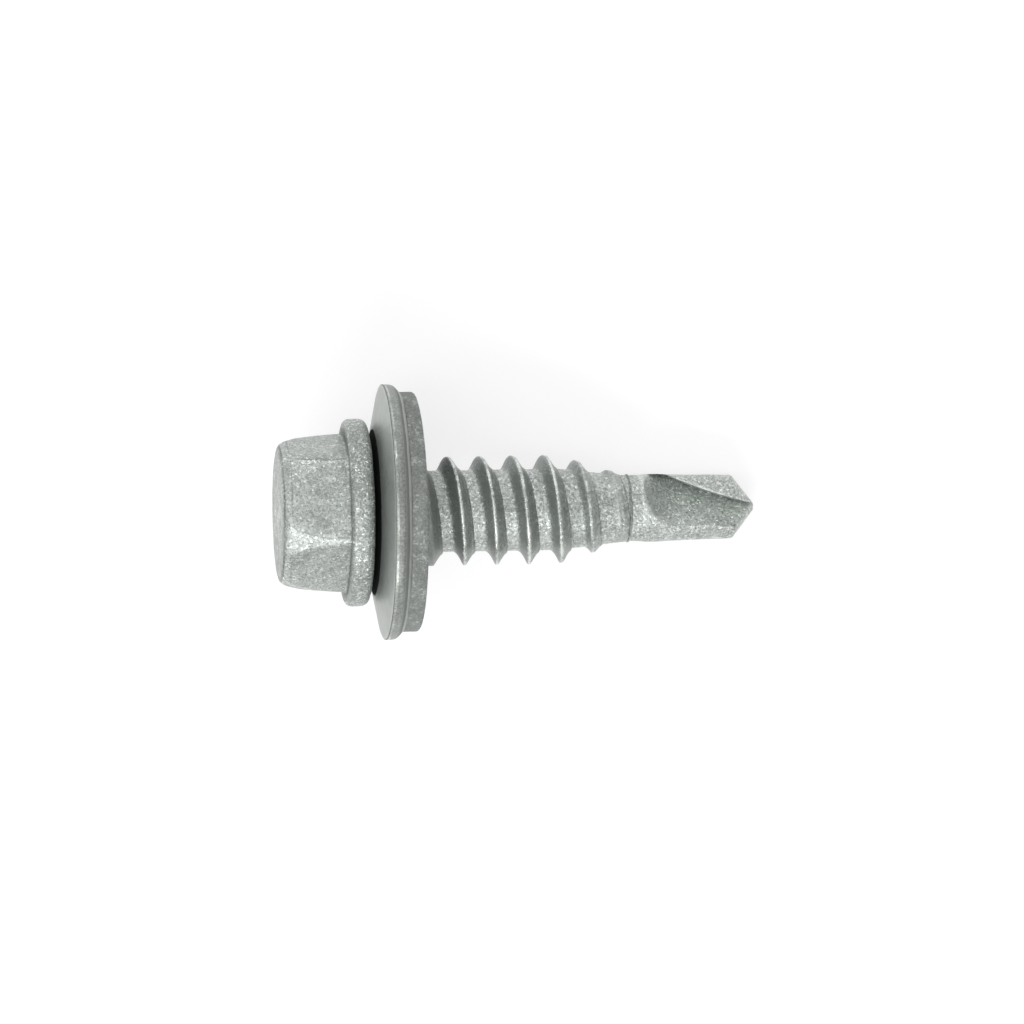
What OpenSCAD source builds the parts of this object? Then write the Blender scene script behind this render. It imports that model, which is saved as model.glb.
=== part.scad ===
// Self drilling screw with a hex washer head and a bonded sealing washer.
// Every piece is drawn upright on the screw's own axis, with the end of the head at 0 and the drill
// point up. lie() then lays the screw down as it comes to rest on a table: on the rim of its washer
// and on the two edges of the drill flute that faces down, with the point towards +X.

/* [Head] */
// Hexagon across its flats
hex_width = 7.94; // [7:0.01:9.6]
// Height of the hexagon above the flange
hex_height = 3.56; // [2.8:0.01:4.4]
// Radius of the six long edges of the hexagon
hex_edge_r = 0.6; // [0.3:0.05:1]
// Radius of the rounding around the end of the head
crown_r = 0.4; // [0.2:0.05:0.6]
// Diameter of the flat circle on the end of the head
crown_flat_d = 5.2; // [4:0.1:6]
// How far the flange reaches past the corners of the hexagon, on the radius
flange_reach = 0.74; // [0.3:0.01:1.5]
// Thickness of the flange
flange_t = 1.32; // [1:0.01:1.7]

/* [Shank and thread] */
// Length from under the flange to the tip of the drill point
shank_length = 21.8; // [18:0.1:40]
// Outside diameter of the thread
thread_d = 6.12; // [5.1:0.01:7.4]
// Diameter of the core between the threads
core_d = 4.54; // [4:0.01:5]
// Distance from one thread to the next
pitch = 1.814; // [1.5:0.001:2.2]
// Width of a thread where it leaves the core
thread_base = 1.26; // [0.9:0.01:1.4]
// Width of the blunt top of a thread
thread_top = 0.2; // [0.1:0.01:0.4]
// Length over which the thread sinks into the core before the point
fade_length = 3.85; // [2.5:0.05:5]
// Plain neck between the end of the thread and the drill point
neck_length = 1; // [0.5:0.05:2]
// How far the neck stands out past the cutting corners, on the radius
neck_stand = 0.09; // [0:0.01:0.2]

/* [Drill point] */
// Diameter over the cutting corners
drill_d = 3.52; // [3:0.01:3.6]
// How far the point swells past its cutting corners where its flutes run out, on the radius
swell_stand = 0.14; // [0:0.01:0.25]
// Length from where the flutes begin to the tip
drill_length = 6.22; // [5:0.01:7.5]
// Angle between the two cutting edges
point_angle = 102; // [90:1:125]
// Width of the blunt tip
chisel = 0.4; // [0.2:0.05:0.6]
// Thickness of the web between the flutes at the cutting corners
web = 0.84; // [0.6:0.01:1.1]
// How far ahead of the axis the cutting face lies at its corner
lip_offset = 0.32; // [0.1:0.01:0.5]
// Slant of the cutting face to the axis
lip_slant = 19; // [5:1:25]
// Turn of the flute's floor from square to the cutting face
floor_turn = 38.7; // [20:0.1:50]
// Rise of the flute's floor towards the shank
floor_rise = 3; // [0:0.5:6]
// Radius of the sweep in which a flute runs out
runout_r = 1.3; // [1:0.05:2]

/* [Sealing washer] */
// Diameter of the metal plate
plate_d = 14.26; // [12:0.01:17.2]
// Thickness of the metal plate
plate_t = 0.8; // [0.6:0.01:1]
// Angle of the dished plate to flat
dish_angle = 12.4; // [6:0.1:15]
// Height of the plate's rolled edge, from its top corner to its widest
rim_h = 0.5; // [0.3:0.01:0.7]
// Depth of the bevelled lip that holds the rubber at the edge
lip_h = 0.57; // [0.4:0.01:0.8]
// Radial width of the bevel on that lip
lip_bevel = 0.43; // [0.3:0.01:0.6]
// Radial thickness of the lip where it ends
lip_t = 0.2; // [0.1:0.01:0.3]
// Thickness of rubber that shows below the lip
rubber_h = 0.7; // [0.5:0.01:1.2]
// Radius of the rubber's outer corner
rubber_r = 0.2; // [0.1:0.01:0.4]

/* [Clearances] */
// Between the top of the thread and the bore of the rubber, on the radius
rubber_clear = 0.06; // [0.03:0.01:0.1]
// Between the top of the thread and the hole in the plate, on the radius
hole_clear = 0.24; // [0.1:0.01:0.4]
// Between the flange and the plate at its hole
flange_clear = 0.07; // [0.03:0.01:0.15]

/* [Turning positions] */
// Turn of the hexagon about the axis, from straight down to the middle of a flat
hex_turn = 36.5; // [0:0.5:60]
// Turn at which the thread's top passes the height of the flange's underside
thread_turn = 253.5; // [0:0.5:360]
// Turn of the loose washer about the shank
washer_turn = -2.14; // [-180:0.01:180]

/* [Hidden] */
$fn = 96;

// Heights along the axis, from the end of the head
flange_s = hex_height;
seat_s = flange_s + flange_t;
tip_s = seat_s + shank_length;
corner_s = tip_s - (drill_d - chisel) / 2 / tan(point_angle / 2);
drill_s = tip_s - drill_length;
thread_end_s = drill_s - neck_length;
fade_s = thread_end_s - fade_length;

// Head. The crown stands out past the flats, drops a little from the flat circle to its round, and
// lets the corners reach their full width a little above the flange.
flat_r = hex_width / 2;
edge_axis_r = (flat_r - hex_edge_r) / cos(30);
hex_corner_r = edge_axis_r + hex_edge_r;
crown_stand = 0.18;
crown_out_r = flat_r + crown_stand;
crown_drop = 0.05;
crown_cover = 0.01;
crown_foot_r = hex_corner_r + crown_cover;
corner_low = 0.6;
hexagon_s = flange_s + flange_t / 2;
flange_r = hex_corner_r + flange_reach;
flange_top_round = 0.4;
flange_under_round = 0.6;

// Thread
core_r = core_d / 2;
crest_r = thread_d / 2;
crest_blend = 0.15;
fade_width = 0.35;
thread_gap = 0.3;
thread_rise = 0.6;
thread_start_s = seat_s + thread_gap;
thread_turn_s = seat_s - pitch * thread_turn / 360;
shank_low_s = seat_s - flange_t / 2;
shank_high_s = thread_end_s + neck_length / 3;
shank_sides = 32;

// Drill point. The shank ends a little inside the neck, and the body narrows a little towards its
// cutting corners.
corner_r = drill_d / 2;
neck_r = corner_r + neck_stand;
neck_cover = 0.05;
rod_end_r = neck_r - neck_cover;
swell_r = corner_r + swell_stand;
swell_length = 0.8;
swell_rise_low = 0.3;
swell_rise_high = 0.1;
swell_end_s = drill_s + swell_length;
body_s = swell_end_s + swell_length;
back_taper = 0.06;
body_r = corner_r + back_taper;
flute_gap = 0.15;
flute_s = drill_s + flute_gap;
reach = 4 * drill_d;

// Sealing washer
hole_r = crest_r + hole_clear;
bore_r = crest_r + rubber_clear;
plate_r = plate_d / 2;
plate_top_s = seat_s + flange_clear;
rim_round = 0.08;
rubber_inset = 0.03;
rim_top_s = plate_top_s + (plate_r - hole_r) * tan(dish_angle);
rim_s = rim_top_s + rim_h;
lip_s = rim_s + lip_h;
lip_out_r = plate_r - lip_bevel;
lip_in_r = lip_out_r - lip_t;
seal_r = lip_out_r - rubber_inset;
seal_face_s = lip_s + rubber_h;
function plate_under_s(r) = plate_top_s + plate_t + (r - hole_r) * tan(dish_angle);

// The two edges of a flute at the cutting corners, as turns from straight ahead of the flute
lip_edge_turn = asin(lip_offset / corner_r);
heel_edge_turn = acos(web / 2 / corner_r) - floor_turn;
flute_turn = (lip_edge_turn - heel_edge_turn) / 2;
support_r = corner_r * cos((lip_edge_turn + heel_edge_turn) / 2);

// Rest: the washer's rim and the flute's two edges touch the table together
rest_tilt = atan((plate_r - support_r) / (corner_s - rim_s));
rest_height = rim_s * sin(rest_tilt) + plate_r * cos(rest_tilt);
rest_shift = (tip_s * cos(rest_tilt) + (chisel / 2 - flat_r) * sin(rest_tilt)) / 2;

steel = [0.66, 0.69, 0.66];
plate_steel = [0.63, 0.66, 0.63];
rubber = [0.50, 0.53, 0.50];

// Lays a piece down from upright on the screw's axis to its place on the table
module lie() {
  translate([-rest_shift, 0, rest_height])
    rotate([0, 90 + rest_tilt, 0])
      children();
}

// Hexagon with its six long edges rounded, flats square to the turns 0, 60, 120
module hexagon_outline() {
  polygon([
    for (corner = [0:5], side = [0, 60])
      edge_axis_r * [cos(60 * corner + 30), sin(60 * corner + 30)]
      + hex_edge_r * [cos(60 * corner + side), sin(60 * corner + side)]
  ]);
  for (corner = [0:5])
    rotate(60 * corner + 30)
      translate([edge_axis_r, 0])
        circle(hex_edge_r);
}

// Envelope that rounds the end of the head and draws its corners in towards the end
module crown() {
  rotate_extrude() {
    polygon([
      [0, 0], [crown_flat_d / 2, 0],
      [crown_out_r - crown_r, crown_drop],
      [crown_out_r, crown_drop + crown_r],
      [crown_foot_r, flange_s - corner_low],
      [crown_foot_r, hexagon_s],
      [0, hexagon_s]
    ]);
    translate([crown_out_r - crown_r, crown_drop + crown_r])
      circle(crown_r);
  }
}

module hexagon() {
  intersection() {
    rotate(hex_turn)
      linear_extrude(hexagon_s)
        hexagon_outline();
    crown();
  }
}

module flange() {
  rotate_extrude() {
    polygon([
      [0, flange_s], [flange_r - flange_top_round, flange_s],
      [flange_r, flange_s + flange_top_round],
      [flange_r, seat_s - flange_under_round],
      [flange_r - flange_under_round, seat_s], [0, seat_s]
    ]);
    translate([flange_r - flange_top_round, flange_s + flange_top_round])
      circle(flange_top_round);
    translate([flange_r - flange_under_round, seat_s - flange_under_round])
      circle(flange_under_round);
  }
}

// Neck and body of the drill point, before the flutes are pressed in
module point_body() {
  rotate_extrude()
    polygon([
      [0, thread_end_s], [neck_r, thread_end_s], [neck_r, drill_s - swell_rise_low],
      [swell_r, drill_s + swell_rise_high], [swell_r, swell_end_s],
      [body_r, body_s], [corner_r, corner_s],
      [chisel / 2, tip_s], [0, tip_s]
    ]);
}

// One flute: a floor that sweeps out towards the shank, cut off by the slanted cutting face
module flute() {
  floor_s = flute_s + runout_r;
  floor_at = function(s) web / 2 + (corner_s - s) * tan(floor_rise);
  face_at = function(s) lip_offset + (corner_s - s) * tan(lip_slant);
  start_s = drill_s - neck_length;
  end_s = tip_s + neck_length;
  intersection() {
    rotate(180 - floor_turn)
      rotate([90, 0, 0])
        linear_extrude(reach, center = true) {
          polygon([
            [floor_at(floor_s), floor_s], [floor_at(end_s), end_s],
            [reach, end_s], [reach, flute_s], [floor_at(floor_s) + runout_r, flute_s]
          ]);
          translate([floor_at(floor_s) + runout_r, floor_s])
            circle(runout_r);
        }
    rotate([90, 0, 90])
      linear_extrude(reach, center = true)
        polygon([
          [face_at(start_s), start_s], [face_at(end_s), end_s],
          [-reach, end_s], [-reach, start_s]
        ]);
  }
}

// Radius of the core and of the thread's top at a height
function core_at(s) =
  core_r + (rod_end_r - core_r) * min(1, max(0, (s - fade_s) / fade_length));
function crest_at(s) =
  let (
    rise = min(1, max(0, (s - thread_start_s) / thread_rise)),
    sink = min(1, max(0, (thread_end_s - s) / fade_length))
  )
  core_at(s) + (crest_r - core_r) * rise * sink;

// One thread's outline at a height: pairs of radius and distance along the axis from its top
function thread_outline(s) =
  let (
    low = core_at(s),
    top = crest_at(s),
    share = fade_width + (1 - fade_width) * (top - low) / (crest_r - core_r),
    foot = thread_base / 2 * share,
    edge = thread_top / 2 * share,
    shoulder = edge * 2,
    shoulder_r = top - (top - low) * crest_blend
  )
  [
    [low, -foot], [shoulder_r, -shoulder], [top, -edge],
    [top, edge], [shoulder_r, shoulder], [low, foot]
  ];

// Shank with its thread, from inside the flange to inside the neck. Every side runs the whole
// length and crosses each thread once, so the last side meets the first one turn further on.
module threaded_shank() {
  below_s = shank_low_s - pitch - thread_base;
  first_crest = thread_turn_s + pitch * floor((below_s - thread_turn_s) / pitch);
  turns = ceil((shank_high_s + thread_base - first_crest) / pitch) + 1;
  per_turn = 6;
  per_side = turns * per_turn;
  points = [
    for (side = [0:shank_sides - 1], turn = [0:turns - 1])
      let (
        angle = side * 360 / shank_sides,
        crest_s = first_crest + pitch * (turn + side / shank_sides)
      )
      for (p = thread_outline(crest_s))
        let (
          s = min(shank_high_s, max(shank_low_s, crest_s + p[1])),
          r = s == shank_low_s ? core_r : s == shank_high_s ? rod_end_r : p[0]
        )
        [r * cos(angle), r * sin(angle), s]
  ];
  walls = [
    for (side = [0:shank_sides - 1], row = [0:per_side - 2])
      let (
        wraps = side == shank_sides - 1,
        a = side * per_side + row,
        b = wraps ? row + per_turn : a + per_side
      )
      if (!wraps || row + per_turn < per_side - 1)
        each [[a, b + 1, b], [a, a + 1, b + 1]]
  ];
  low_cap = [for (side = [0:shank_sides - 1]) side * per_side];
  high_cap = [for (side = [shank_sides - 1:-1:0]) (side + 1) * per_side - 1];
  apart = function(a, b) points[a] != points[b];
  has_area = function(f) apart(f[0], f[1]) && apart(f[1], f[2]) && apart(f[2], f[0]);
  polyhedron(
    points,
    [each [for (wall = walls) if (has_area(wall)) wall], low_cap, high_cap],
    convexity = 10
  );
}

// The screw: head, shank, thread and drill point formed from one piece of wire
module screw() {
  color(steel)
    lie() {
      hexagon();
      flange();
      threaded_shank();
      difference() {
        point_body();
        for (side = [0, 180])
          rotate(side + flute_turn)
            flute();
      }
    }
}

// Dished metal plate with its edge turned down over the rubber
module washer_plate() {
  color(plate_steel)
    lie()
      rotate(washer_turn)
        rotate_extrude()
          polygon([
            [hole_r, plate_top_s], [plate_r - rim_round, rim_top_s],
            [plate_r, rim_top_s + rim_round], [plate_r, rim_s],
            [lip_out_r, lip_s], [lip_in_r, lip_s],
            [lip_in_r, plate_under_s(lip_in_r)], [hole_r, plate_under_s(hole_r)]
          ]);
}

// Rubber seal moulded onto the plate, flat where it presses on the sheet
module rubber_seal() {
  color(rubber)
    lie()
      rotate(washer_turn)
        rotate_extrude() {
          polygon([
            [bore_r, plate_under_s(bore_r)], [lip_in_r, plate_under_s(lip_in_r)],
            [lip_in_r, lip_s], [seal_r, lip_s],
            [seal_r, seal_face_s - rubber_r], [seal_r - rubber_r, seal_face_s],
            [bore_r, seal_face_s]
          ]);
          translate([seal_r - rubber_r, seal_face_s - rubber_r])
            circle(rubber_r);
        }
}

screw();
washer_plate();
rubber_seal();
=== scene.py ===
import math

import bpy
from mathutils import Matrix, Vector


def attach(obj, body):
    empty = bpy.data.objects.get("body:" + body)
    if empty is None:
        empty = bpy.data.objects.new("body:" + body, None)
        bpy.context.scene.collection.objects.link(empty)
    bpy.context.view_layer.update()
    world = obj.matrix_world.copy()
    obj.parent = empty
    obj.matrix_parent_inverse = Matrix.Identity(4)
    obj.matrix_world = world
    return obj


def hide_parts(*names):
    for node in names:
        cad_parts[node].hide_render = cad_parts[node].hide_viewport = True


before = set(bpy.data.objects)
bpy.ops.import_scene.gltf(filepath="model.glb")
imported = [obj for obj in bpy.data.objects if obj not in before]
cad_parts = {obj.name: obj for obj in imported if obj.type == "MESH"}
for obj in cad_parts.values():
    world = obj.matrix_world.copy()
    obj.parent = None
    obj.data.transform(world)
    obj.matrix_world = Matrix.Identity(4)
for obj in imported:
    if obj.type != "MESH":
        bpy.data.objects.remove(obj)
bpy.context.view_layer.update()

# The screw: head, flange, shank, thread and drill point, headed, rolled and pinched from one piece
# of wire and then coated grey. It is drawn as an unrolled sheet, which a tree presses, rolls,
# pinches, wraps round the axis and lays down. Lengths are millimetres from the end of the head.
hex_height = 3.56
hex_turn = 36.5
flat_reach = 7.94 / 2
end_face = -0.1
fillet = 0.08
foot = hex_height + 0.1
shoulder_r = 4.83
flange_r = 5.231
seat = hex_height + 1.32
seal_face = seat + 2.68
core_r = 2.27
crest_r = 3.06
tip = seat + 21.8
cutting_angle = 102
corner_r = 1.76
neck_r = corner_r + 0.09
swell_r = corner_r + 0.14
drill_start = tip - 6.22
thread_low = seat + 0.22
thread_end = drill_start - 1
point_corner = tip - (2 * corner_r - 0.4) / 2 / math.tan(math.radians(cutting_angle / 2))
columns = 192
head_end = (-0.0122935, 0, 0.0085956)
tilt = 16.105
lying = (0, math.radians(90 + tilt), 0)
millimetre = (0.001, 0.001, 0.001)


def bent(corners, longest):
    """Outline through corners of (radius, height, rounding), with no run over the longest."""
    runs = []
    befores, afters = [None] + corners, corners[1:] + [None]
    for before, (radius, height, rounding), after in zip(befores, corners, afters):
        here = Vector((radius, height))
        if not (before and after and rounding):
            runs.append([here])
            continue
        back = (Vector(before[:2]) - here).normalized()
        on = (Vector(after[:2]) - here).normalized()
        cut = rounding / math.tan(back.angle(on) / 2)
        steps = max(3, round(math.degrees(math.pi - back.angle(on)) / 15))
        shares = [k / steps for k in range(steps + 1)]
        runs.append([here + cut * ((1 - t) ** 2 * back + t ** 2 * on) for t in shares])
    outline = [runs[0][0]]
    for point in [p for run in runs for p in run][1:]:
        length = (point - outline[-1]).length
        pieces = max(1, math.ceil(length / longest))
        start = outline[-1]
        outline += [start.lerp(point, k / pieces) for k in range(1, pieces + 1)]
    return outline


def unrolled(name, *sheets):
    """A flat mesh of sheets of rows and columns, which carries the values of both as attributes."""
    points, faces, values = [], [], []
    for rows, sides in sheets:
        first, wide = len(points), len(sides)
        for row in rows:
            for side in sides:
                values.append({**row, **side})
                points.append((side["angle"], row.get("along", 0), row.get("out", 0)))
        faces += [
            (a, a + 1, a + 1 + wide, a + wide)
            for row in range(len(rows) - 1)
            for a in range(first + row * wide, first + (row + 1) * wide - 1)
        ]
    mesh = bpy.data.meshes.new(name)
    mesh.from_pydata(points, [], faces)
    for key in sorted({key for value in values for key in value}):
        attribute = mesh.attributes.new(key, "FLOAT", "POINT")
        attribute.data.foreach_set("value", [value.get(key, 0.0) for value in values])
    return mesh


# Rows of the head, from the middle of its end to the foot of the shank. A row follows the hexagon
# by its share "follow", whose edges are rounder towards the end, and "lift" is how far its fillet
# stands out from the flats. "grain" is how rough the coating is.
around = [{"angle": math.tau * k / columns} for k in range(columns + 1)]


def hexagonal(row, height):
    """A row with the draft of the flats and the rounding of the edges at a height."""
    draft = 0.1 * (1 - height / hex_height) + 0.12 * math.exp(-6 * (height - end_face))
    return {**row, "rounding": 0.26 + 1.8 * math.exp(-height), "draft": draft}


head_rows = [
    hexagonal({"out": p.x, "along": p.y, "follow": float(p.x > 3.1),
               "grain": 0.4 if p.x > 3.7 else 0.6}, p.y)
    for p in bent([(0, end_face, 0), (3.84, end_face, 0.55), (4.02, 0.32, 0.3), (4.2, 0.95, 0.8),
                   (4.36, 2.1, 0), (4.47, hex_height - 0.1, 0)], 0.12)
]
head_rows += [
    hexagonal({"out": shoulder_r, "along": foot - fillet * (1 - math.sin(turn)), "follow": 1.0,
               "lift": fillet * (1 - math.cos(turn)), "grain": 0.5}, hex_height)
    for turn in [math.pi / 2 * k / 5 for k in range(1, 6)]
]
head_rows += [
    hexagonal({"out": shoulder_r, "along": foot - fillet * k / 6, "follow": 1 - k / 6,
               "lift": fillet, "grain": 0.6}, hex_height)
    for k in range(1, 6)
]
head_rows += [
    {"out": p.x, "along": p.y, "grain": 1.0}
    for p in bent([(shoulder_r, foot - fillet, 0), (flange_r, hex_height, 0.4),
                   (flange_r, seat, 0.55), (core_r, seat, 0.12), (core_r, thread_low, 0)], 0.16)
]

# Rows of the thread follow it round: each keeps its distance from the crest along the axis and its
# share of the thread's depth. The flanks are hollow, with the ledge that the rolling dies leave.
thread_outline = [
    (-0.74, 0.0), (-0.66, 0.01), (-0.59, 0.04), (-0.52, 0.10), (-0.45, 0.19), (-0.38, 0.31),
    (-0.31, 0.46), (-0.25, 0.61), (-0.19, 0.76), (-0.145, 0.88), (-0.10, 0.96), (-0.05, 1.0),
    (0.01, 1.0), (0.06, 0.97), (0.11, 0.89), (0.16, 0.79), (0.22, 0.67), (0.30, 0.52),
    (0.38, 0.37), (0.45, 0.26), (0.50, 0.20), (0.54, 0.18), (0.58, 0.07), (0.63, 0.0),
    (0.78, 0.01), (0.92, -0.01), (1.02, 0.01),
]
thread_rows = [
    {"turn": float(turn), "offset": offset, "rise": rise, "thread": 1.0}
    for turn in range(10)
    for offset, rise in thread_outline
]

# Rows and columns of the neck and drill point. Each half of its columns goes down the wall below a
# cutting edge, across the flute's floor to its heel, and round the land to the other cutting edge.
half = [{"wall": k / 4} for k in range(4)]
half += [{"wall": 1, "floor": k / 34} for k in range(34)]
half += [{"wall": 1, "floor": 1, "land": k / 58} for k in range(58)]
point_sides = [
    {"angle": math.tau * k / columns, "half": float(k // len(half)), **half[k % len(half)]}
    for k in range(columns)
]
point_sides.append({"angle": math.tau, "half": 2.0, **half[0]})
point_rows = [
    {"out": p.x, "along": p.y, "point": 1.0}
    for p in bent([(neck_r, thread_end, 0), (neck_r + 0.06, thread_end + 0.03, 0.02),
                   (neck_r + 0.06, thread_end + 0.1, 0.02),
                   (neck_r - 0.02, thread_end + 0.14, 0.02),
                   (neck_r, thread_end + 0.3, 0.1), (neck_r, drill_start - 0.3, 0.3),
                   (swell_r, drill_start + 0.1, 0.4), (swell_r, drill_start + 0.8, 0.5),
                   (corner_r + 0.07, drill_start + 2.2, 0.5), (corner_r + 0.03, point_corner, 0.2),
                   (0.2, tip, 0.12), (0, tip, 0)], 0.09)
]


class Wire:
    """An output of a node in a tree. Arithmetic on it adds Math nodes to the tree."""

    def __init__(self, tree, output=None):
        self.tree, self.output = tree, output

    def node(self, kind, settings=None, **sockets):
        """Adds any other node: first its settings, then the values or wires of its sockets."""
        made = self.tree.nodes.new(kind)
        for name, setting in (settings or {}).items():
            setattr(made, name, setting)
        for name, value in sockets.items():
            place = next(s for s in made.inputs if name in (s.identifier, s.name.replace(" ", "_")))
            if isinstance(value, Wire):
                self.tree.links.new(value.output, place)
            else:
                place.default_value = value
        return Wire(self.tree, next((s for s in made.outputs if s.enabled), None))

    def __getitem__(self, name):
        outputs = self.output.node.outputs
        return Wire(self.tree, next(s for s in outputs if name in (s.identifier, s.name)))

    def math(self, operation, *values):
        """Adds a Math node for an operation on values or wires."""
        made = self.tree.nodes.new("ShaderNodeMath")
        made.operation = operation
        for place, value in zip(made.inputs, values):
            if isinstance(value, Wire):
                self.tree.links.new(value.output, place)
            else:
                place.default_value = value
        return Wire(self.tree, made.outputs[0])

    def __add__(self, other):
        return self.math("ADD", self, other)

    def __radd__(self, other):
        return self.math("ADD", other, self)

    def __sub__(self, other):
        return self.math("SUBTRACT", self, other)

    def __rsub__(self, other):
        return self.math("SUBTRACT", other, self)

    def __mul__(self, other):
        return self.math("MULTIPLY", self, other)

    def __rmul__(self, other):
        return self.math("MULTIPLY", other, self)

    def __truediv__(self, other):
        return self.math("DIVIDE", self, other)

    def __rtruediv__(self, other):
        return self.math("DIVIDE", other, self)

    def __pow__(self, other):
        return self.math("POWER", self, other)

    def __rpow__(self, other):
        return self.math("POWER", other, self)

    def __lt__(self, other):
        return self.math("LESS_THAN", self, other)

    def __gt__(self, other):
        return self.math("GREATER_THAN", self, other)

    def clear(self):
        """The value held between 0 and 1."""
        return self.math("MINIMUM", self.math("MAXIMUM", self, 0.0), 1.0)

    def towards(self, other, share):
        """The value moved towards another by a share."""
        return self + (other - self) * share


def form_tree(name, sizes):
    """A new tree with a geometry and named sizes coming in. Returns it and its wires by name."""
    tree = bpy.data.node_groups.new(name, "GeometryNodeTree")
    tree.interface.new_socket("Geometry", in_out="OUTPUT", socket_type="NodeSocketGeometry")
    tree.interface.new_socket("Geometry", in_out="INPUT", socket_type="NodeSocketGeometry")
    for size in sizes:
        tree.interface.new_socket(size, in_out="INPUT", socket_type="NodeSocketFloat")
    entry = tree.nodes.new("NodeGroupInput")
    return tree, {s.name: Wire(tree, s) for s in entry.outputs if s.name}


def value_of(sheet, name):
    """The value that a sheet carries under a name."""
    return sheet.node("GeometryNodeInputNamedAttribute", {"data_type": "FLOAT"}, Name=name)


def wrapped(sheet, angle, out, along, marks, sizes, finish):
    """Wraps a sheet round the axis, roughens it, lays it down and gives it its finish."""
    place = sheet.node(
        "ShaderNodeCombineXYZ",
        X=out * out.math("COSINE", angle), Y=out * out.math("SINE", angle), Z=along)
    shape = sheet
    for name, mark in marks.items():
        shape = sheet.node(
            "GeometryNodeStoreNamedAttribute", {"data_type": "FLOAT", "domain": "POINT"},
            Geometry=shape, Name=name, Value=mark)
    shape = shape.node("GeometryNodeSetPosition", Geometry=shape, Position=place)
    shape = shape.node("GeometryNodeMergeByDistance", Geometry=shape, Distance=0.001)
    here = shape.node("GeometryNodeInputPosition")
    normal = shape.node("GeometryNodeInputNormal")
    height = 0.0
    for scale, depth, detail in ((0.55, "Waviness", 1.0), (2.6, "Roughness", 2.0)):
        noise = here.node(
            "ShaderNodeTexNoise", {"noise_dimensions": "4D"},
            Vector=here, W=sizes["Seed"], Scale=scale, Detail=detail)
        height = (noise - 0.5) * sizes[depth] + height
    offset = normal.node(
        "ShaderNodeVectorMath", {"operation": "SCALE"}, Vector=normal, Scale=height)
    shape = shape.node("GeometryNodeSetPosition", Geometry=shape, Offset=offset)
    shape = shape.node("GeometryNodeSetShadeSmooth", {"domain": "FACE"}, Geometry=shape)
    bend = shape.node("GeometryNodeInputMeshEdgeAngle")
    shape = shape.node(
        "GeometryNodeSetShadeSmooth", {"domain": "EDGE"},
        Geometry=shape, Selection=bend > math.radians(48), Shade_Smooth=False)
    shape = shape.node(
        "GeometryNodeTransform",
        Geometry=shape, Translation=head_end, Rotation=lying, Scale=millimetre)
    shape = shape.node("GeometryNodeRealizeInstances", Geometry=shape)
    shape = shape.node("GeometryNodeSetMaterial", Geometry=shape, Material=finish)
    leave = shape.tree.nodes.new("NodeGroupOutput")
    shape.tree.links.new(shape.output, leave.inputs["Geometry"])


def made_piece(name, sheet, tree, sizes, body, node):
    """Runs a tree on its sheet, keeps the result as a plain mesh, and hands it over."""
    blank = bpy.data.objects.new(name + "_sheet", sheet)
    bpy.context.scene.collection.objects.link(blank)
    modifier = blank.modifiers.new("form", "NODES")
    modifier.node_group = tree
    for item in tree.interface.items_tree:
        if item.in_out == "INPUT" and item.name in sizes:
            modifier[item.identifier] = float(sizes[item.name])
    ready = blank.evaluated_get(bpy.context.evaluated_depsgraph_get())
    mesh = bpy.data.meshes.new_from_object(ready)
    blank.modifiers.remove(modifier)
    bpy.data.objects.remove(blank)
    piece = bpy.data.objects.new(name, mesh)
    bpy.context.scene.collection.objects.link(piece)
    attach(piece, body)
    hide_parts(node)


def new_finish(name):
    """A new material. Returns it, its surface shader, and the place on the piece in millimetres
    from the end of the head, with Z along the screw's axis."""
    material = bpy.data.materials.new(name)
    material.use_nodes = True
    start = Wire(material.node_tree)
    object_place = start.node("ShaderNodeTexCoord")["Object"]
    place = start.node(
        "ShaderNodeMapping", {"vector_type": "TEXTURE"}, Vector=object_place,
        Location=head_end, Rotation=lying, Scale=millimetre)
    return material, material.node_tree.nodes["Principled BSDF"], place


def carried(place, name):
    """The mark that the piece's mesh carries under a name."""
    return place.node("ShaderNodeAttribute", {"attribute_name": name})["Fac"]


def mottled(place, scale, detail, roughness):
    """Noise over the piece, finer as the scale grows."""
    return place.node(
        "ShaderNodeTexNoise", Vector=place, Scale=scale, Detail=detail, Roughness=roughness)


def flake_shade(place, scale):
    """A shade between 0 and 1 for each flake in the coating."""
    flakes = place.node(
        "ShaderNodeTexVoronoi", {"feature": "F1"}, Vector=place, Scale=scale, Randomness=1.0)
    return place.node("ShaderNodeSeparateColor", Color=flakes["Color"])["Red"]


def along_and_radius(place):
    """How far a spot is along the screw's axis and how far out from it."""
    spot = place.node("ShaderNodeSeparateXYZ", Vector=place)
    return spot["Z"], place.math("SQRT", spot["X"] ** 2.0 + spot["Y"] ** 2.0)


def joined(value, shader, socket):
    """Leads a wire to a socket of the surface shader."""
    value.tree.links.new(value.output, shader.inputs[socket])


def mixed(low, high, share):
    """A colour between two, by a share."""
    return share.node(
        "ShaderNodeMix", {"data_type": "RGBA"},
        Factor_Float=share, A_Color=low, B_Color=high)["Result_Color"]


def line_at(distance, width):
    """A share that is 1 where a distance is nothing and 0 beyond a width."""
    return (1 - distance.math("ABSOLUTE", distance) / width).clear()


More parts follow.
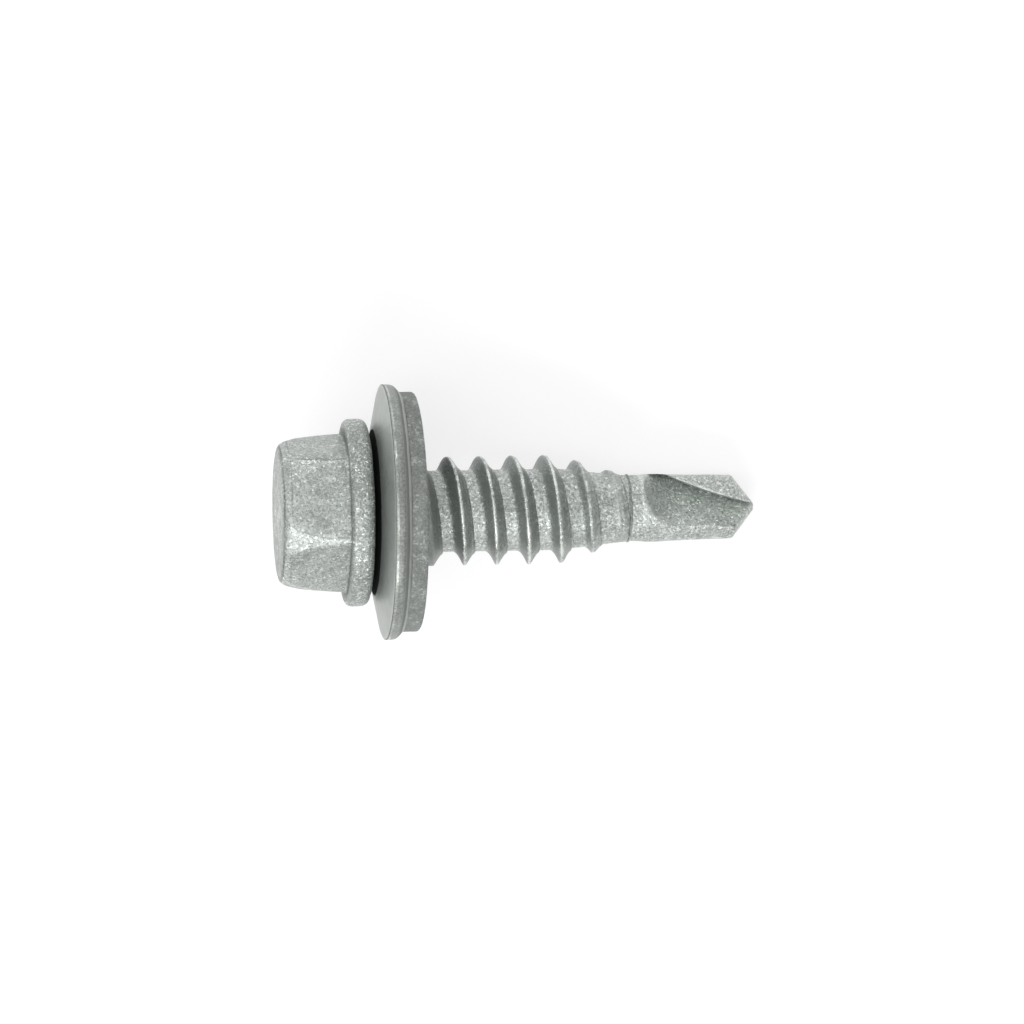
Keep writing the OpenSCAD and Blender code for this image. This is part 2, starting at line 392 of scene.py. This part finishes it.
# Finish: zinc flake coating, greenish grey and grainy, with small bright flakes. The crests of the
# thread are rubbed brighter, and a highlight is painted along the edges of the hexagon.
# The thread's flanks are smoother and painted darker as shade, and painted shade darkens the lines
# that the header and the rolling dies leave.
coated, shader, place = new_finish("zinc_flake_coating")
coarse, worn, smooth, in_flute, rolled_line = (
    carried(place, name) for name in ("coarse", "worn", "smooth", "in_flute", "rolled_line"))
shine = ((flake_shade(place, 8.0) - 0.8) * 5.0).clear()
clouds = mottled(place, 0.9, 3.0, 0.6)
grain = mottled(place, 6.0, 3.0, 0.75)
fine = mottled(place, 14.0, 1.0, 0.6)
along, radius = along_and_radius(place)
on_end = (along < end_face + 0.12) * (radius < 4.0)
on_hexagon = (along > 0.0) * (along < hex_height - 0.05)
on_flange = (radius > 4.9) * (along < seat)

# A painted dark line of shade runs beside each edge of the hexagon and bends away from it towards
# the end of the head.
# A painted highlight fills the band between the line and the edge. Distances from the edge are
# taken 4.5 mm out.
spot = place.node("ShaderNodeSeparateXYZ", Vector=place)
angle = place.math("ARCTAN2", spot["Y"], spot["X"]) - math.radians(hex_turn + 30)
from_edge = 4.5 * angle.math("WRAP", angle, math.pi / 6, -math.pi / 6)
shade_line_offset = -0.1 - 1.1 * math.e ** (along * -1.3) + (clouds - 0.5) * 0.4
highlight_to = shade_line_offset + 0.85 * math.e ** (along * -0.3)
edge_shade_line = on_hexagon * line_at(from_edge - shade_line_offset, 0.07)
edge_highlight = on_hexagon * ((from_edge - shade_line_offset) / 0.1).clear() * (
    (highlight_to - from_edge) / 0.3).clear()

# Painted shade also darkens thin lines round the rim of the end, across the corners below it, round
# the foot of the hexagon, along the thread's ledge and round the ring where the thread ends.
from_corner = from_edge.math("ABSOLUTE", from_edge)
crease_shade = line_at(along - end_face - 0.08, 0.06) * (from_corner - 0.6).clear() * 0.55
crease_shade = crease_shade + line_at(along - 0.4, 0.06) * (from_corner - 0.7).clear() * 0.45
crease_shade = crease_shade + line_at(along - foot + 0.01, 0.13) * (radius < 4.95) * 0.85
crease_shade = crease_shade + rolled_line * 0.8
painted_shade = (edge_shade_line * 0.35 + crease_shade * 0.7 + (grain - 0.5) * 0.5 * (edge_shade_line + crease_shade)).clear()

speckle = (grain - 0.5) * (1.2 + coarse * 1.3) + (fine - 0.5) * (1.1 + coarse * 0.6)
flecks = shine * (0.3 + coarse * 0.6) * (1 - smooth) * (1 - in_flute * 0.5)
runout_painted_light = in_flute * ((drill_start + 0.9 - along) / 0.8).clear()
tone = 0.31 + (clouds - 0.5) * 0.7 + speckle * (1 - smooth * 0.1) + flecks
# The smooth flanks are painted darker, as shade.
tone = tone + (coarse - 0.5) * 0.1 - smooth * 0.38 - on_flange * 0.22
# The flutes' floors are painted lighter, most of all near where they run out, as light that lifts
# their shade.
tone = tone + in_flute * (0.1 + shine * 0.7) + runout_painted_light * 0.15
# Painted highlight along the hexagon's edges.
tone = tone + worn * ((clouds - 0.4) * 3.5 + shine).clear() + edge_highlight * (0.1 + shine * 1.5)
# The end of the head is painted darker towards its rim, as shade.
tone = tone + on_end * (
    (grain - 0.5) * 0.3 + (clouds - 0.5) * 0.8 - 0.04 - radius * radius * 0.02)
clean = mixed((0.27, 0.29, 0.275, 1), (0.78, 0.82, 0.79, 1), tone.clear())
# The painted shade turns the colour towards near black.
joined(mixed(clean, (0.05, 0.055, 0.05, 1), painted_shade), shader, "Base Color")
rough = 0.40 - (shine * 0.15 + worn * 0.1 + edge_highlight * 0.1 + in_flute * 0.07)
joined((rough + (grain - 0.5) * 0.4 + painted_shade * 0.4).clear(), shader, "Roughness")
shader.inputs["Metallic"].default_value = 0.75
relief = (grain + fine * 0.5) * (0.6 + coarse * 0.4 + on_end * 0.5)
relief = relief + shine * (0.4 + coarse * 0.5)
bump = place.node("ShaderNodeBump", Strength=0.8, Distance=0.00007, Height=relief)
joined(bump, shader, "Normal")

screw_sizes = {
    "Flat reach": flat_reach, "Hexagon turn": math.radians(hex_turn), "Seat": seat,
    "Seal face": seal_face, "Filled length": 1.5, "Pitch": 1.814, "Core": core_r,
    "Crest": crest_r, "Neck": neck_r, "Thread turn": math.radians(253.5),
    "Thread low": thread_low, "Thread start": seat + 0.3, "Thread rise": 0.6,
    "Thread end": thread_end, "Fade length": 3.85, "Point corner": point_corner,
    "Flute turn": math.radians(-13.5), "Flute start": drill_start - 0.35,
    "Run-out": 2.4, "Run-out length": 2.3, "Floor offset": 0.42,
    "Floor turn": math.radians(180 - 38.7), "Floor slope": math.tan(math.radians(3)),
    "Lip offset": 0.45, "Lip lean": 0.26, "Lip curve": 0.032,
    "Waviness": 0.05, "Roughness": 0.018, "Seed": 3.0,
}
tree, size = form_tree("screw_form", screw_sizes)
sheet = size["Geometry"]
angle, along, out = (value_of(sheet, name) for name in ("angle", "along", "out"))

# Head: the hexagon's flats, its rounded edges and the flange around its foot.
follow, lift, rounding, draft = (
    value_of(sheet, name) for name in ("follow", "lift", "rounding", "draft"))
reach = size["Flat reach"] - draft
flat_angle = angle.math("PINGPONG", angle - size["Hexagon turn"], math.pi / 6)
edge_angle = math.pi / 6 - flat_angle
edge_axis = (reach - rounding) / math.cos(math.pi / 6)
flat = reach / angle.math("COSINE", flat_angle)
under_root = rounding ** 2.0 - (edge_axis * angle.math("SINE", edge_angle)) ** 2.0
rounded = edge_axis * angle.math("COSINE", edge_angle) + angle.math(
    "SQRT", angle.math("MAXIMUM", under_root, 0.0))
on_flat = flat_angle < angle.math("ARCTANGENT", edge_axis / 2 / reach)
hexagon = rounded.towards(flat, on_flat)
pressed = angle.math("SMOOTH_MIN", out, hexagon, 0.1) + lift
head_out = out.towards(pressed, follow)

# Thread: the crest climbs by a pitch each turn, grows out of the shank and sinks into it again,
# blunter where the dies are no longer filled. Where it comes out of the seal, the side of it that
# faces the head is filled up to the crest.
turn, offset, rise = (value_of(sheet, name) for name in ("turn", "offset", "rise"))
crest_along = (size["Seat"] - size["Pitch"] * size["Thread turn"] / math.tau
               + size["Pitch"] * (turn + angle / math.tau))
fade_start = size["Thread end"] - size["Fade length"]
rising = ((crest_along - size["Thread start"]) / size["Thread rise"]).clear()
sinking = ((crest_along - fade_start) / size["Fade length"]).clear()
depth = rising * (1 - sinking)
climb = crest_along + offset * (0.7 + 0.3 * depth)
narrowing = ((climb - fade_start) / size["Fade length"]).clear()
core = size["Core"].towards(size["Neck"], narrowing)
below_seal = ((size["Seal face"] + size["Filled length"] - crest_along) / 0.3).clear()
rise = rise.math("MAXIMUM", rise, below_seal * (offset < 0.0))
filled = angle.math("SMOOTH_MIN", rise * depth ** 0.85, depth, 0.03)
rolled = core + (size["Crest"] - size["Core"]) * filled
in_head, in_neck = climb < size["Thread low"], climb > size["Thread end"]
thread_out = rolled.towards(size["Core"], in_head).towards(size["Neck"], in_neck)
thread_along = climb.math(
    "MINIMUM", climb.math("MAXIMUM", climb, size["Thread low"]), size["Thread end"])

# Point: each flute is cut off by a straight wall below its cutting edge and a slanted floor, which
# sweeps out towards the shank. Both are drawn square to the axis, from the turn of the flute. The
# floor's chord is held open towards the tip, so that the wall doesn't fold.
back = size["Point corner"] - along
sweep = size["Flute start"] + size["Run-out length"] - along
sweep_in = sweep.math("MAXIMUM", sweep, 0.0)
under_root = sweep.math("MAXIMUM", size["Run-out"] ** 2.0 - sweep_in ** 2.0, 0.0)
floor = (size["Floor offset"] + (back - sweep_in) * size["Floor slope"] + size["Run-out"]
         - sweep.math("SQRT", under_root))
solid = out.math("MAXIMUM", out, 0.05)
chord = out.math("ARCCOSINE", out.math("MINIMUM", floor / solid, 0.7))
heel = size["Floor turn"] + chord
face = (size["Lip offset"] + back * size["Lip lean"] + back * back * size["Lip curve"]) / solid
lip = math.pi - out.math("ARCSINE", out.math(
    "MAXIMUM", out.math("MINIMUM", face, 1.0), -0.95))
lip = out.math("MINIMUM", out.math("MAXIMUM", lip, size["Floor turn"] - chord), heel - 0.05)
lip_x, lip_y = out * out.math("COSINE", lip), out * out.math("SINE", lip)
foot_x = ((floor - lip_y * out.math("SINE", size["Floor turn"]))
          / out.math("COSINE", size["Floor turn"]))
on_wall, on_floor, on_land = (value_of(sheet, name) for name in ("wall", "floor", "land"))
point_x = lip_x.towards(foot_x, on_wall).towards(out * out.math("COSINE", heel), on_floor)
point_y = lip_y.towards(out * out.math("SINE", heel), on_floor)
fluted = out.math("ARCTAN2", point_y, point_x)
fluted = fluted + math.tau * (fluted < 0.0)
fluted = fluted.towards(lip + math.pi, on_land)
from_middle = out.math("COSINE", fluted - size["Floor turn"])
floor_reach = floor / out.math("MAXIMUM", from_middle, 0.05)
floor_out = out.math("SMOOTH_MIN", out, floor_reach, 0.25)
wall_out = out.math("MINIMUM", out, out.math("SQRT", point_x ** 2.0 + point_y ** 2.0))
cut = wall_out.towards(floor_out, on_wall > 0.99)
is_cut = along > size["Flute start"]
point_out = out.towards(cut, is_cut)

# The columns settle from an even spacing on the neck, 49 columns on from where the angle starts, to
# the flutes' own spacing, over the first millimetre.
settled = (along - size["Thread end"]).clear()
settled = settled * settled * (3 - 2 * settled)
uniform = angle + math.tau * 49 / columns
point_angle = uniform.towards(
    fluted + math.pi * value_of(sheet, "half") + size["Flute turn"], settled)

# Marks for the finish: coarse grain, rubbed crests and cutting edges, flanks that are smooth and
# painted darker as shade, painted shade lines along the ledge of the rolling dies and round the
# ring where the thread ends, and the flutes' floors.
is_thread, is_point = value_of(sheet, "thread"), value_of(sheet, "point")
coarse = value_of(sheet, "grain")
coarse = coarse + is_thread * (0.35 + 0.6 * (1 - rise.math("MINIMUM", rise * 4.0, 1.0)))
coarse = coarse + is_point * (1 - 0.5 * is_cut * (1 - (on_land * 20.0).clear()))
worn = (is_thread * ((rise - 0.96) / 0.04).clear() * depth * (1 - below_seal)
        + is_point * is_cut * ((on_wall < 0.1) + ((on_land - 0.95) * 25.0).clear()))
# The flanks are smooth and painted darker as shade, those facing the head most, and so is the
# thread filled below the seal.
smooth = is_thread * (rise * (1 - rise) * 6.0 + below_seal * (rise > 0.1)).clear() * depth
smooth = smooth * (1 - 0.4 * (offset > 0.0) * (1 - below_seal))
# Painted shade lines along the thread's ledge and round the ring where the thread ends.
rolled_line = is_thread * (offset > 0.52) * (offset < 0.6) * (1 - depth * 0.7)
rolled_line = rolled_line + is_point * line_at(along - size["Thread end"] - 0.06, 0.1)
in_flute = is_point * is_cut * (on_wall > 0.1) * (1 - (on_land * 18.0).clear())
wrapped(
    sheet, angle.towards(point_angle, is_point),
    head_out.towards(thread_out, is_thread).towards(point_out, is_point),
    along.towards(thread_along, is_thread),
    {"coarse": coarse, "worn": worn, "smooth": smooth, "rolled_line": rolled_line,
     "in_flute": in_flute}, size, coated)
made_piece(
    "screw_body",
    unrolled("screw_sheet", (head_rows, around), (thread_rows, around), (point_rows, point_sides)),
    tree, screw_sizes, "screw", "screw")

# The washer's metal plate: stamped, dished towards the head, its edge turned down over the rubber.
# It has the same greenish grey, but smoother and more matt. Painted shade darkens the gap under the
# flange, the creases of its edge and the band under the rim, and a painted highlight runs along the
# edge in a broken line.
hole_r = crest_r + 0.24
plate_r = 14.26 / 2
plate_thick = 0.8
plate_top = seat + 0.07
dish = math.tan(math.radians(11.5))
rim_top = plate_top + (plate_r - hole_r) * dish + 0.05
rim = rim_top + 0.56
lip_end = rim + 0.39
lip_r = plate_r - 0.43
lip_in = lip_r - 0.2


def under_plate(r):
    """Height of the plate's underside at a radius."""
    return plate_top + plate_thick + (r - hole_r) * dish


beside_hole = (hole_r + 0.3, plate_top + 0.3 * dish, 0)
plate_outline = bent(
    [beside_hole, (plate_r, rim_top, 0.07), (plate_r - 0.02, rim, 0.4), (lip_r, lip_end, 0.02),
     (lip_in, lip_end, 0.02), (lip_in, under_plate(lip_in), 0),
     (hole_r, under_plate(hole_r), 0.1), (hole_r, plate_top, 0.1), beside_hole], 0.2)
plate_rows = [
    {"out": p.x, "along": p.y, "edge": float(p.x > plate_r - 0.2 and p.y < rim_top + 0.16)}
    for p in plate_outline
]

coated_plate, shader, place = new_finish("plate_coating")
clouds = mottled(place, 0.8, 4.0, 0.6)
grain = mottled(place, 7.0, 3.0, 0.7)
worn = carried(place, "worn")
along, radius = along_and_radius(place)
on_rim = (radius > plate_r - 0.25) * (along < lip_end)
# Painted shade: dark lines in the creases of the rim, the band under the rim, and the gap under the
# flange.
rim_crease_shade = line_at(along - rim_top - 0.02, 0.04) * 0.6 + line_at(along - rim, 0.08) * 0.2
shade_under_rim = ((along - rim) / 0.08).clear() * 0.45
shade_below_flange = ((4.68 - radius) / 0.1).clear() * (along < plate_top + 0.5)
painted_shade = (on_rim * (rim_crease_shade + shade_under_rim) + shade_below_flange).clear()
# A painted highlight runs along the edge, broken by the clouds, and is a little smoother there.
rim_highlight = on_rim * line_at(along - rim_top - 0.14, 0.05) * ((clouds - 0.42) * 8.0).clear()
rim_grain = on_rim * (along < rim) * (along > rim_top)
tone = clouds * 0.5 + (grain - 0.5) * (0.9 + rim_grain * 1.2) + 0.25 - rim_grain * 0.35
tone = (tone + rim_highlight + worn * 0.3).clear()
clean = mixed((0.26, 0.275, 0.262, 1), (0.56, 0.59, 0.56, 1), tone)
joined(mixed(clean, (0.012, 0.015, 0.013, 1), painted_shade), shader, "Base Color")
joined((0.42 + (grain - 0.5) * 0.3 - rim_highlight * 0.2 + painted_shade * 0.6).clear(), shader, "Roughness")
shader.inputs["Metallic"].default_value = 0.8
bump = place.node("ShaderNodeBump", Strength=0.5, Distance=0.00003, Height=grain)
joined(bump, shader, "Normal")

washer_sizes = {"Waviness": 0.05, "Roughness": 0.012, "Seed": 7.0}
tree, size = form_tree("washer_form", washer_sizes)
sheet = size["Geometry"]
angle, along, out = (value_of(sheet, name) for name in ("angle", "along", "out"))
wrapped(sheet, angle, out, along, {"worn": value_of(sheet, "edge")}, size, coated_plate)
made_piece(
    "washer_dish", unrolled("plate_sheet", (plate_rows, around)), tree, washer_sizes,
    "washer", "washer_plate")

# The rubber seal: moulded onto the underside of the plate, flat where it presses on the sheet and
# slightly thicker on one side. Grey rubber, mottled and dusted with the coating's grey.
bond = 0.01
bore_r = crest_r + 0.06
seal_r = lip_r - 0.005
shelf_r = lip_in - bond
crown = (bore_r + 0.5, under_plate(bore_r + 0.5) + bond, 0)
seal_outline = bent(
    [crown, (shelf_r, under_plate(shelf_r) + bond, 0), (shelf_r, lip_end + bond, 0),
     (seal_r, lip_end + bond, 0.01), (seal_r, seal_face, 0.2), (bore_r, seal_face, 0.08),
     (bore_r, under_plate(bore_r) + bond, 0.05), crown], 0.16)
seal_rows = [{"out": p.x, "along": p.y} for p in seal_outline]

dusty_rubber, shader, place = new_finish("dusty_rubber")
clouds = mottled(place, 1.3, 4.0, 0.65)
grain = mottled(place, 8.0, 3.0, 0.7)
dust = ((flake_shade(place, 10.0) - 0.7) * 6.0).clear() * ((clouds - 0.47) * 8.0).clear()
tone = ((clouds - 0.5) * 0.6 + (grain - 0.5) * 1.6 + 0.3 + dust * 0.9).clear()
joined(mixed((0.14, 0.15, 0.142, 1), (0.38, 0.405, 0.385, 1), tone), shader, "Base Color")
joined((0.75 + (grain - 0.5) * 0.3 - dust * 0.25).clear(), shader, "Roughness")
bump = place.node("ShaderNodeBump", Strength=0.6, Distance=0.00006, Height=grain)
joined(bump, shader, "Normal")

seal_sizes = {
    "Middle": seal_face - 0.25, "Swelling": 0.05, "Swollen side": math.radians(235),
    "Waviness": 0.02, "Roughness": 0.02, "Seed": 11.0,
}
tree, size = form_tree("seal_form", seal_sizes)
sheet = size["Geometry"]
angle, along, out = (value_of(sheet, name) for name in ("angle", "along", "out"))
swollen = size["Swelling"] * (1 + angle.math("COSINE", angle - size["Swollen side"]))
along = along + swollen * (along > size["Middle"])
wrapped(sheet, angle, out, along, {}, size, dusty_rubber)
made_piece(
    "washer_seal", unrolled("seal_sheet", (seal_rows, around)), tree, seal_sizes,
    "washer", "rubber_seal")

# The floor: a plain pale sheet. The camera and the screw's gloss see it almost white, with the soft
# shadow on it, and to all other light it is a plain pale card.
floor_mesh = bpy.data.meshes.new("floor")
floor_mesh.from_pydata([(-1, -1, 0), (1, -1, 0), (1, 1, 0), (-1, 1, 0)], [], [(0, 1, 2, 3)])
floor_sheet = bpy.data.objects.new("floor", floor_mesh)
bpy.context.scene.collection.objects.link(floor_sheet)
pale = bpy.data.materials.new("pale_floor")
pale.use_nodes = True
tree = pale.node_tree
tree.nodes.clear()
start = Wire(tree)
card = start.node("ShaderNodeBsdfDiffuse", Color=(0.8, 0.8, 0.8, 1))
shaded = start.node("ShaderNodeBsdfDiffuse", Color=(0.30, 0.30, 0.30, 1))
glow = start.node("ShaderNodeEmission", Color=(1, 1, 1, 1), Strength=0.73)
white = start.node("ShaderNodeAddShader")
tree.links.new(shaded.output, white.output.node.inputs[0])
tree.links.new(glow.output, white.output.node.inputs[1])
path = start.node("ShaderNodeLightPath")
seen = path.math("MAXIMUM", path["Is Camera Ray"], path["Is Glossy Ray"])
seen = path.math("MAXIMUM", seen, path["Is Transmission Ray"])
surface = start.node("ShaderNodeMixShader", Fac=seen)
tree.links.new(card.output, surface.output.node.inputs[1])
tree.links.new(white.output, surface.output.node.inputs[2])
leave = tree.nodes.new("ShaderNodeOutputMaterial")
tree.links.new(surface.output, leave.inputs["Surface"])
floor_mesh.materials.append(pale)

# Studio light: a plain surround, paler overhead and on the side of the head, a lamp overhead, and a
# strip of light beyond the lower and the upper side of the picture.
world = bpy.data.worlds.new("studio")
bpy.context.scene.world = world
world.use_nodes = True
start = Wire(world.node_tree)
direction = start.node("ShaderNodeTexCoord")["Generated"]
direction = start.node("ShaderNodeSeparateXYZ", Vector=direction)
glow = 0.40 + 0.38 * direction["Z"].clear() - 0.15 * direction["X"]
backdrop = world.node_tree.nodes["Background"]
backdrop.inputs["Color"].default_value = (1, 1, 1, 1)
world.node_tree.links.new(glow.output, backdrop.inputs["Strength"])
middle = Vector((0, 0, 0.005))
lamp_distance = 0.4
for name, way, width, power in (
    ("overhead_lamp", (0.0, 0.1, 0.99), 0.12, 0.3),
    ("lower_strip", (-0.1, -0.66, 0.75), 0.07, 0.75),
    ("upper_strip", (-0.1, 0.9, 0.40), 0.07, 0.27),
):
    lamp = bpy.data.lights.new(name, "AREA")
    lamp.shape = "RECTANGLE"
    lamp.size = 0.35
    lamp.size_y = width
    lamp.energy = power
    holder = bpy.data.objects.new(name, lamp)
    bpy.context.scene.collection.objects.link(holder)
    holder.location = middle + Vector(way).normalized() * lamp_distance
    holder.rotation_euler = (holder.location - middle).to_track_quat("Z", "Y").to_euler()

# The camera: far off with a long lens, nearly straight above, and a little on the head's side of
# the tilted screw, so that the end of the head shows. The screw lies across the picture, with its
# point slightly raised.
axis = Vector((math.cos(math.radians(tilt)), 0, -math.sin(math.radians(tilt))))
towards_camera = Vector((0.147, 0.2316, 0.9616)).normalized()
across = (axis - towards_camera * axis.dot(towards_camera)).normalized()
roll = math.radians(-0.923)
across = Matrix.Rotation(roll, 3, towards_camera) @ across
upward = towards_camera.cross(across)
lens = bpy.data.cameras.new("camera")
lens.lens = 200
lens.sensor_width = 36
lens.clip_start = 0.01
camera = bpy.data.objects.new("camera", lens)
bpy.context.scene.collection.objects.link(camera)
target = Vector((0.000394, 0.000135, 0.006))
camera_distance = 0.3171
camera.matrix_world = Matrix.Translation(target + towards_camera * camera_distance) @ Matrix(
    (across, upward, towards_camera)).transposed().to_4x4()
bpy.context.scene.camera = camera
bpy.context.scene.view_settings.view_transform = "Standard"
